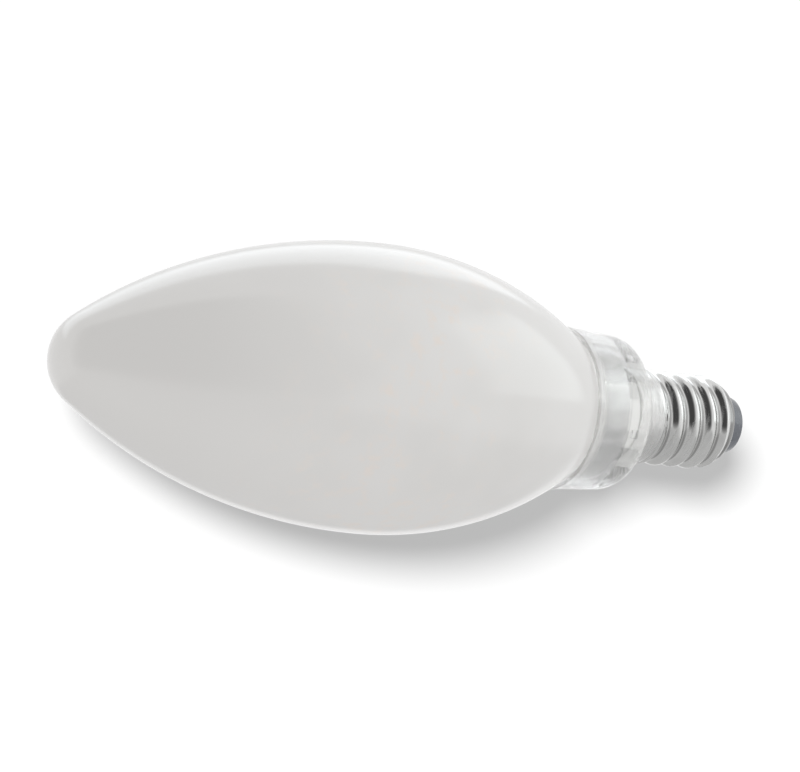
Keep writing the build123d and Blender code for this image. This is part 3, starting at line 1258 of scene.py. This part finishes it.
@dataclass
class Studio:
    """White floor and surround, and the panels that the gloss shows."""

    camera: PhotoCamera
    nodes: dict
    middle: Vector
    surround: float = 1.0
    floor_turn: float = 5.0
    floor_radius: float = 0.3
    floor_segments: int = 96
    floor_colour: float = 0.15
    floor_glow: float = 0.36
    sun_from: Triple = (-0.11, 0.205, 0.97)
    sun_strength: float = 14.8
    sun_spread: float = 14.0
    panels: tuple[Panel, ...] = (
        Panel(
            "rear_softbox",
            middle=(-0.19, 0.5, -0.586),
            across=(0.65, 0.0, -0.104),
            along=(0.19, 0.0, -0.47),
            glow=1.97,
            tint=(0.955, 0.98, 1.0),
            soft_across=(0.2, 0.08),
            soft_along=(0.13, 0.42),
            lights=True,
        ),
        Panel(
            "side_softbox",
            middle=(0.6, 0.29, -0.16),
            across=(0.0, 0.0, -0.33),
            along=(0.0, 0.33, -0.04),
            glow=1.8,
            tint=(0.97, 1.0, 1.0),
            soft_across=(0.25, 0.2),
            soft_along=(0.08, 0.3),
            lights=True,
        ),
        Panel(
            "dark_flag",
            middle=(-0.2, 0.43, 0.28),
            across=(0.66, 0.0, 0.0),
            along=(0.0, 0.73, -0.17),
            glow=0.08,
            soft_across=(0.48, 0.34),
            soft_along=(0.18, 0.3),
        ),
        Panel(
            "grey_table",
            middle=(0.0, -0.4, 0.0),
            across=(1.0, 0.0, 0.0),
            along=(0.0, 0.0, -1.0),
            glow=0.62,
        ),
    )

    def towards(self, offset: Triple) -> Vector:
        """An offset along the camera's right, up and back in the lamp's frame."""
        right, up, back = offset
        return self.camera.right * right + self.camera.up * up + self.camera.back * back

    def world(self) -> None:
        """Builds the white surround."""
        world = bpy.data.worlds.new("white_surround")
        bpy.context.scene.world = world
        world.use_nodes = True
        graph = Graph(world.node_tree)
        inputs = {"Color": (1.0, 1.0, 1.0, 1.0), "Strength": self.surround}
        surround = graph.node("ShaderNodeBackground", {}, inputs)
        graph.node("ShaderNodeOutputWorld", {}, {"Surface": surround})

    def dress_floor(self, graph: Graph) -> None:
        """White floor that keeps the shadow and is clear from behind.

        Args:
            graph: The material's empty tree.
        """
        seen = graph.node("ShaderNodeLightPath", output="Is Camera Ray")
        for ray in ("Is Glossy Ray", "Is Transmission Ray"):
            seen = seen + graph.node("ShaderNodeLightPath", output=ray)
        shade = (self.floor_colour,) * 3
        matt = graph.node("ShaderNodeBsdfDiffuse", {}, {"Color": (*shade, 1.0)})
        glow = graph.node("ShaderNodeEmission", {}, {"Strength": seen.over(0.0, 1.0) * self.floor_glow})
        front = graph.node("ShaderNodeAddShader", {}, {0: matt, 1: glow})
        behind = graph.node("ShaderNodeNewGeometry", output="Backfacing")
        clear = graph.node("ShaderNodeBsdfTransparent")
        both = graph.node("ShaderNodeMixShader", {}, {0: behind, 1: front, 2: clear})
        graph.node("ShaderNodeOutputMaterial", {}, {"Surface": both})

    def stand(self, name: str, mesh: bmesh.types.BMesh, dress: Callable[[Graph], None]) -> bpy.types.Object:
        """Puts a stage piece in the scene.

        Args:
            name: The piece's name.
            mesh: Its shape, which is used up.
            dress: What fills its material's node tree.

        Returns:
            The new object.
        """
        data = bpy.data.meshes.new(name)
        mesh.to_mesh(data)
        mesh.free()
        material = bpy.data.materials.new(name)
        material.use_nodes = True
        dress(Graph(material.node_tree))
        data.materials.append(material)
        piece = bpy.data.objects.new(name, data)
        bpy.context.scene.collection.objects.link(piece)
        piece.visible_diffuse = False
        piece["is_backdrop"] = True
        return piece

    def floor(self) -> bpy.types.Object:
        """Builds the floor along the lamp's side, which the belly touches.

        Returns:
            The floor.
        """
        turn = math.radians(self.floor_turn)
        normal = Vector((math.sin(turn), -math.cos(turn), 0.0))
        level = min(normal.dot(vert.co) for node in self.nodes.values() for vert in node.data.vertices)
        mesh = bmesh.new()
        bmesh.ops.create_circle(mesh, cap_ends=True, segments=self.floor_segments, radius=self.floor_radius)
        lie = normal.to_track_quat("Z", "Y").to_matrix()
        bmesh.ops.transform(mesh, matrix=lie.to_4x4(), verts=mesh.verts)
        foot = self.middle + normal * (level - normal.dot(self.middle))
        bmesh.ops.translate(mesh, vec=foot, verts=mesh.verts)
        floor = self.stand("floor", mesh, self.dress_floor)
        floor.visible_glossy = False
        return floor

    def sun(self, floor: bpy.types.Object) -> None:
        """Builds the light that gives the floor its shadow and lights nothing else.

        Args:
            floor: The floor.
        """
        data = bpy.data.lights.new("floor_light", "SUN")
        data.energy = self.sun_strength
        data.angle = math.radians(self.sun_spread)
        lamp = bpy.data.objects.new("floor_light", data)
        lamp.matrix_world = self.towards(self.sun_from).to_track_quat("Z", "Y").to_matrix().to_4x4()
        bpy.context.scene.collection.objects.link(lamp)
        lit = bpy.data.collections.new("lit_floor")
        lit.objects.link(floor)
        lamp.light_linking.receiver_collection = lit
        lamp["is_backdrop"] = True

    def panel(self, panel: Panel) -> None:
        """Builds one panel, which the camera doesn't see.

        Args:
            panel: What the panel is like.
        """
        across = self.towards(panel.across)
        along = self.towards(panel.along)
        turn = Matrix((across, along, across.cross(along).normalized())).transposed()
        mesh = bmesh.new()
        mesh.loops.layers.uv.verify()
        bmesh.ops.create_grid(mesh, x_segments=1, y_segments=1, size=1.0, calc_uvs=True)
        place = Matrix.Translation(self.middle + self.towards(panel.middle)) @ turn.to_4x4()
        bmesh.ops.transform(mesh, matrix=place, verts=mesh.verts)
        board = self.stand(panel.name, mesh, panel.dress)
        board.visible_camera = False
        board.visible_diffuse = panel.lights
        board.visible_shadow = False

    def build(self) -> None:
        """Builds the studio."""
        self.world()
        self.sun(self.floor())
        for panel in self.panels:
            self.panel(panel)
        bpy.context.scene.view_settings.view_transform = "Standard"


def corners(box: tuple[Vector, Vector]) -> list[list[float]]:
    """A box's two corners as plain lists."""
    return [list(corner) for corner in box]


def main() -> None:
    """Builds the lamp's looks, the studio and the camera around the frame."""
    logging.basicConfig(level=logging.INFO, format="%(name)s: %(message)s")
    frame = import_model()
    cad_box = corners(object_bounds())
    glass = Envelope()
    glass.build()
    Collar(glass).build()
    ScrewCap().build()
    Driver(frame["nodes"]).build()
    camera = PhotoCamera()
    camera.build()
    low, high = (Vector(corner) for corner in cad_box)
    Studio(camera, frame["nodes"], (low + high) / 2).build()


if __name__ == "__main__":
    main()
